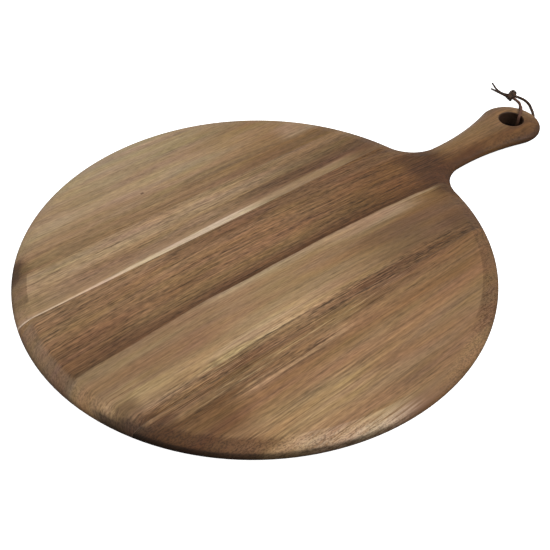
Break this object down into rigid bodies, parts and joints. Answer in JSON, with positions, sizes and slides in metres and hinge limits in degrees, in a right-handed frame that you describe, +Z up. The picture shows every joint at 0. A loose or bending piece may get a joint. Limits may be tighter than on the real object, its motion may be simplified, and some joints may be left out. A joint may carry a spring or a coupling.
{
  "type": "pizza serving board",
  "caption": "Round wooden pizza serving board of edge-glued staves with bevelled rims, a waisted handle with a hanging hole, and a knotted leather thong through it.",
  "frame": {"origin": "centre of the round part, on the flat underside that rests on the table", "axes": "+X along the handle towards its round end, +Z up out of the serving face, +Y across the staves to the back"},
  "size_m": [0.5767, 0.4, 0.021],
  "materials": {
    "rear_wood": "oiled",
    "inner_wood": "oiled",
    "middle_wood": "oiled",
    "front_wood": "oiled",
    "glue": "cured wood glue",
    "leather": "matte"
  },
  "bodies": {
    "board": {"rear_stave": "rear_wood", "inner_stave": "inner_wood", "middle_stave": "middle_wood", "front_stave": "front_wood", "rear_glue_line": "glue", "inner_glue_line": "glue", "front_glue_line": "glue"},
    "thong": {"thong_loop": "leather", "thong_knot": "leather", "thong_tail_long": "leather", "thong_tail_short": "leather"}
  },
  "joints": [
    {"name": "thong_swivel", "type": "hinge", "parent": "board", "child": "thong", "pos_m": [0.3185, 0, 0.009], "axis": [0, 0, 1], "range_deg": [-120, 80]}
  ]
}
